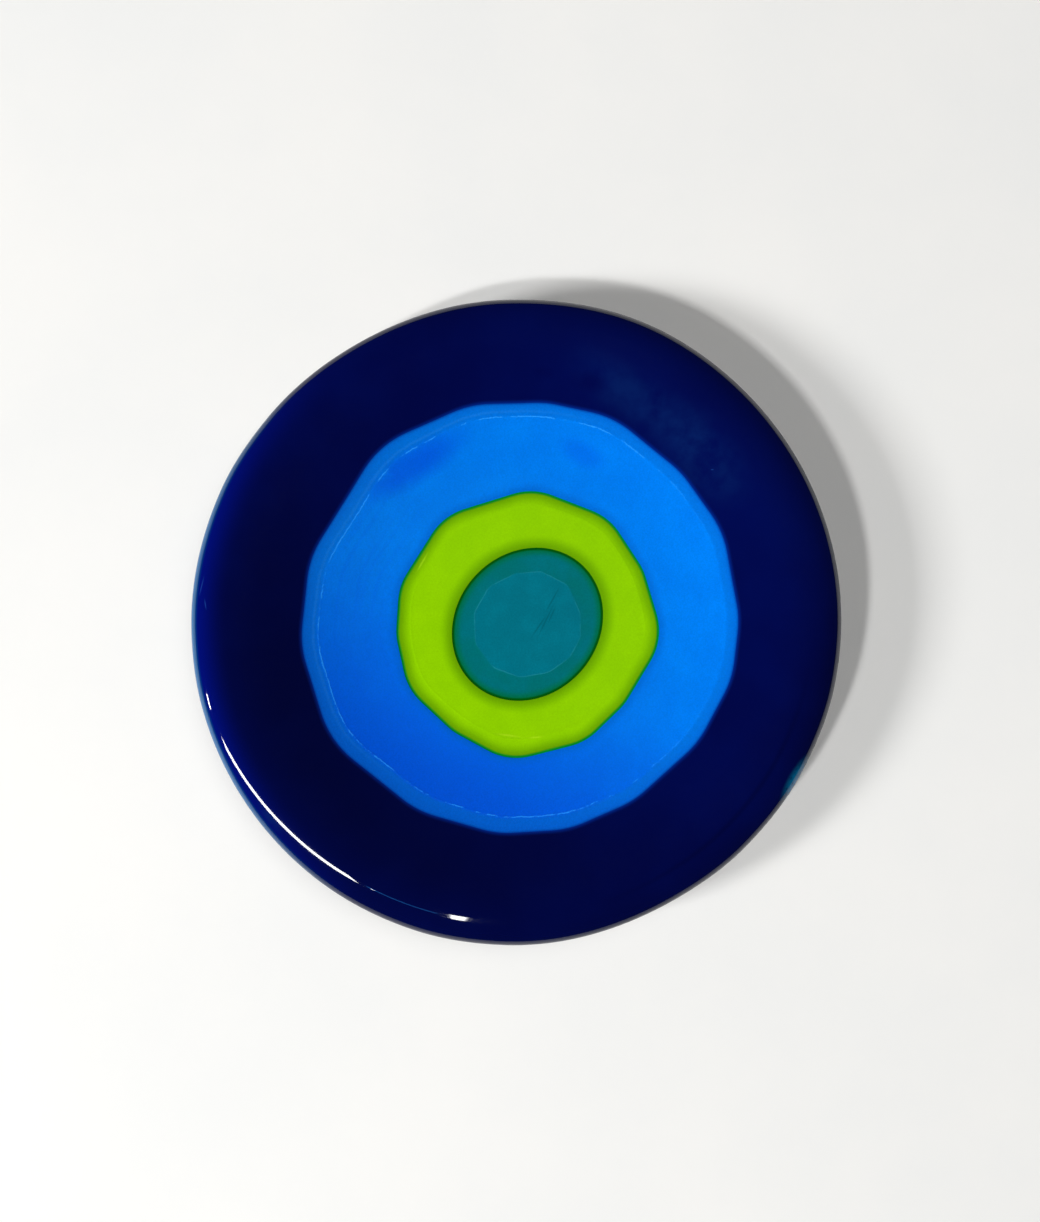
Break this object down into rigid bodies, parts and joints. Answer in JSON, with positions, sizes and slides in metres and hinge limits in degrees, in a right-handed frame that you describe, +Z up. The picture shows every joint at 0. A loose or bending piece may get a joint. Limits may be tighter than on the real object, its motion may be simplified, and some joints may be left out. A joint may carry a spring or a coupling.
{
  "type": "evil eye ornament, shallow fused-glass dish",
  "caption": "Shallow round dish of fused glass: nested hand-cut discs in cobalt, bright blue, lime and teal make an eye, with a thick rounded lip and a flat foot.",
  "frame": {"origin": "middle of the flat foot, on the surface that the dish rests on", "axes": "+Z up, out of the dish's open side; +X to the right and +Y away as the eye is seen from above, with the teal oval's long axis at 48 degrees from +X"},
  "size_m": [0.131, 0.131, 0.013],
  "materials": {
    "cobalt_lower": "deep cobalt, glossy lip, satin underside from the mould",
    "cobalt_upper": "deep cobalt, fire-polished gloss",
    "blue_glass": "opaque bright blue, fire-polished gloss",
    "lime_glass": "opaque lime green, fire-polished gloss",
    "teal_glass": "opaque teal, fire-polished gloss"
  },
  "bodies": {
    "root": {"lower_cobalt_disc": "cobalt_lower", "upper_cobalt_disc": "cobalt_upper", "blue_disc": "blue_glass", "lime_disc": "lime_glass", "teal_disc": "teal_glass"}
  },
  "joints": []
}
